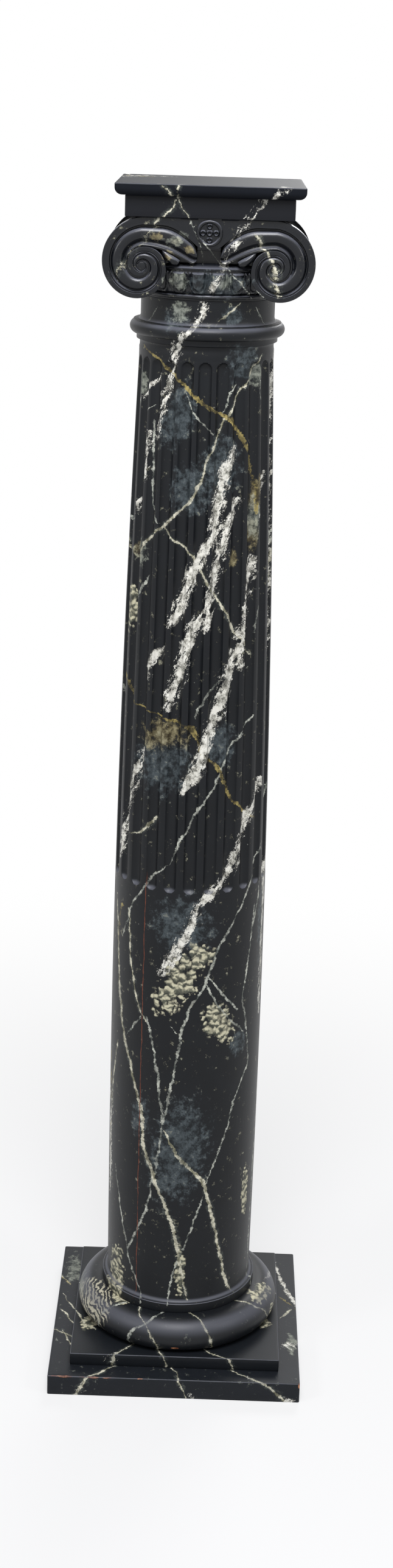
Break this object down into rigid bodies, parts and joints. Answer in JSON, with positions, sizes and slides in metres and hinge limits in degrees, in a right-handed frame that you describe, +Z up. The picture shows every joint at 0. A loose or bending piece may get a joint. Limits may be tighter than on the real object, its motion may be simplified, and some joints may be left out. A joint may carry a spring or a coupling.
{
  "type": "ionic pedestal column",
  "caption": "Painted wooden pedestal column with a square plinth, torus base, part-fluted shaft and scrolled Ionic capital under a flat abacus.",
  "frame": {"origin": "centre of the plinth's underside", "axes": "+Z up along the shaft, the carved front with the rosette faces -Y"},
  "size_m": [0.3, 0.3, 1.39],
  "materials": {
    "plinth_paint": "satin black paint with pale painted marble veins, chipped along the front edge",
    "torus_paint": "satin black paint with pale painted marble veins",
    "shaft_paint": "satin black paint with white, cream and gold painted marble veins and an open stave joint",
    "capital_paint": "satin blue-black paint over carved wood, with a few painted veins",
    "abacus_paint": "satin blue-black paint with a few painted veins"
  },
  "bodies": {
    "root": {"plinth_slab": "plinth_paint", "plinth_step": "plinth_paint", "torus_base": "torus_paint", "shaft": "shaft_paint", "capital": "capital_paint", "abacus_board": "abacus_paint", "abacus_top": "abacus_paint"}
  },
  "joints": []
}
